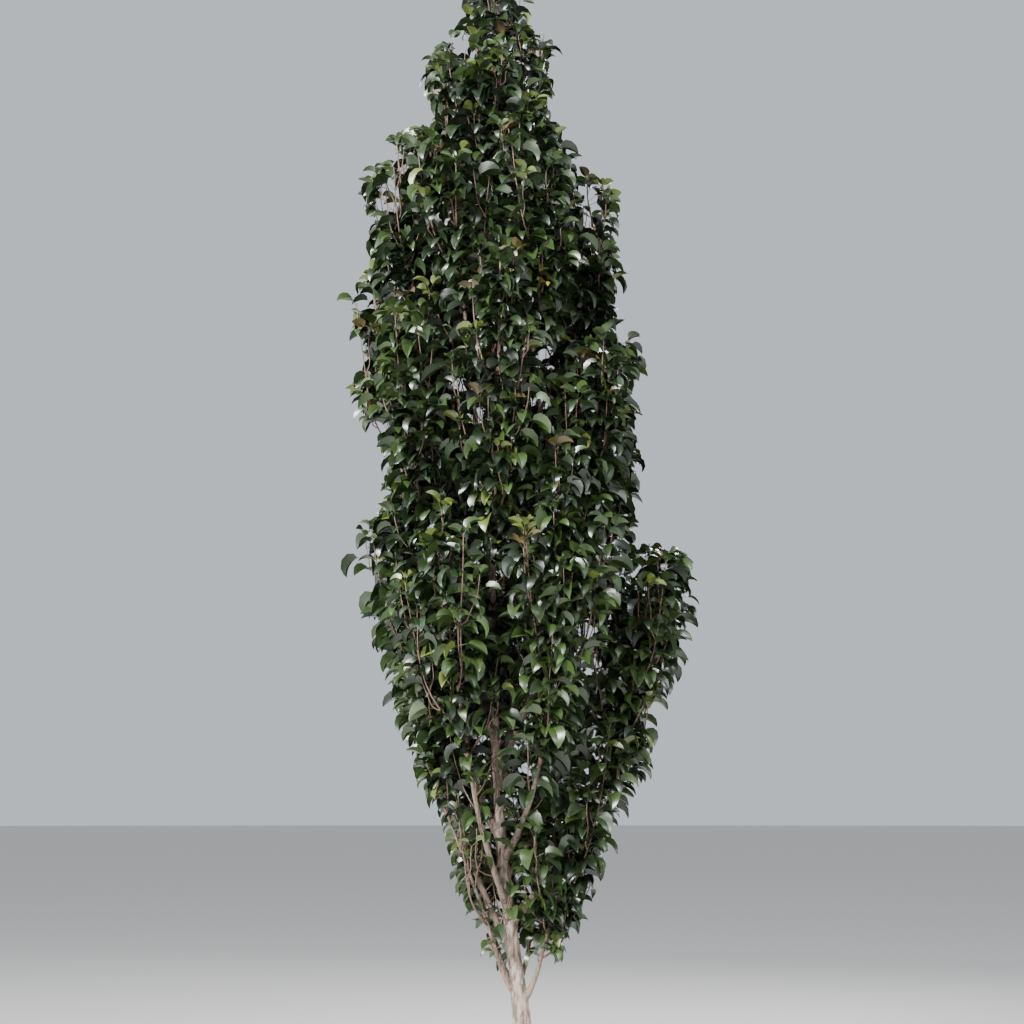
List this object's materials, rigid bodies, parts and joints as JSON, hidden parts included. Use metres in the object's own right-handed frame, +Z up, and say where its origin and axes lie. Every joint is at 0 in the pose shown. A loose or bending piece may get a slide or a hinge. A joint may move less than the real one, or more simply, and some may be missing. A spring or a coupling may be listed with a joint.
{
  "type": "columnar ornamental pear tree",
  "caption": "Young columnar ornamental pear tree in full summer leaf, one leaning trunk up through a dense narrow crown of steep boughs and upright leafy shoots, rooted in level ground.",
  "frame": {"origin": "middle of the flat cut under the trunk at ground level", "axes": "+Z up along the trunk, +X to the right as seen from the tree's front in the picture, -Y towards the picture's camera"},
  "size_m": [1.4178, 1.2358, 5.1441],
  "materials": {
    "trunk_bark": "rough, pale grey-brown bark with fine fissures",
    "bough_bark": "smooth reddish-brown young bark",
    "foliage": "glossy dark green leaves on reddish-brown shoots"
  },
  "bodies": {
    "root": {"bough_high_1": "bough_bark", "bough_high_2": "bough_bark", "bough_high_3": "bough_bark", "bough_high_4": "bough_bark", "bough_high_5": "bough_bark", "bough_high_6": "bough_bark", "bough_high_7": "bough_bark", "bough_low_1": "bough_bark", "bough_low_2": "bough_bark", "bough_low_3": "bough_bark", "bough_low_4": "bough_bark", "bough_low_5": "bough_bark", "bough_low_6": "bough_bark", "bough_low_7": "bough_bark", "bough_middle_1": "bough_bark", "bough_middle_2": "bough_bark", "bough_middle_3": "bough_bark", "bough_middle_4": "bough_bark", "bough_middle_5": "bough_bark", "bough_middle_6": "bough_bark", "bough_middle_7": "bough_bark", "bough_shoulder_1": "bough_bark", "bough_shoulder_2": "bough_bark", "bough_shoulder_3": "bough_bark", "bough_shoulder_4": "bough_bark", "bough_skirt_1": "bough_bark", "bough_skirt_2": "bough_bark", "bough_skirt_3": "bough_bark", "bough_skirt_4": "bough_bark", "foliage_high_1": "foliage", "foliage_high_2": "foliage", "foliage_high_3": "foliage", "foliage_high_4": "foliage", "foliage_high_5": "foliage", "foliage_high_6": "foliage", "foliage_high_7": "foliage", "foliage_low_1": "foliage", "foliage_low_2": "foliage", "foliage_low_3": "foliage", "foliage_low_4": "foliage", "foliage_low_5": "foliage", "foliage_low_6": "foliage", "foliage_low_7": "foliage", "foliage_middle_1": "foliage", "foliage_middle_2": "foliage", "foliage_middle_3": "foliage", "foliage_middle_4": "foliage", "foliage_middle_5": "foliage", "foliage_middle_6": "foliage", "foliage_middle_7": "foliage", "foliage_shoulder_1": "foliage", "foliage_shoulder_2": "foliage", "foliage_shoulder_3": "foliage", "foliage_shoulder_4": "foliage", "foliage_skirt_1": "foliage", "foliage_skirt_2": "foliage", "foliage_skirt_3": "foliage", "foliage_skirt_4": "foliage", "foliage_tip": "foliage", "trunk": "trunk_bark"}
  },
  "joints": []
}
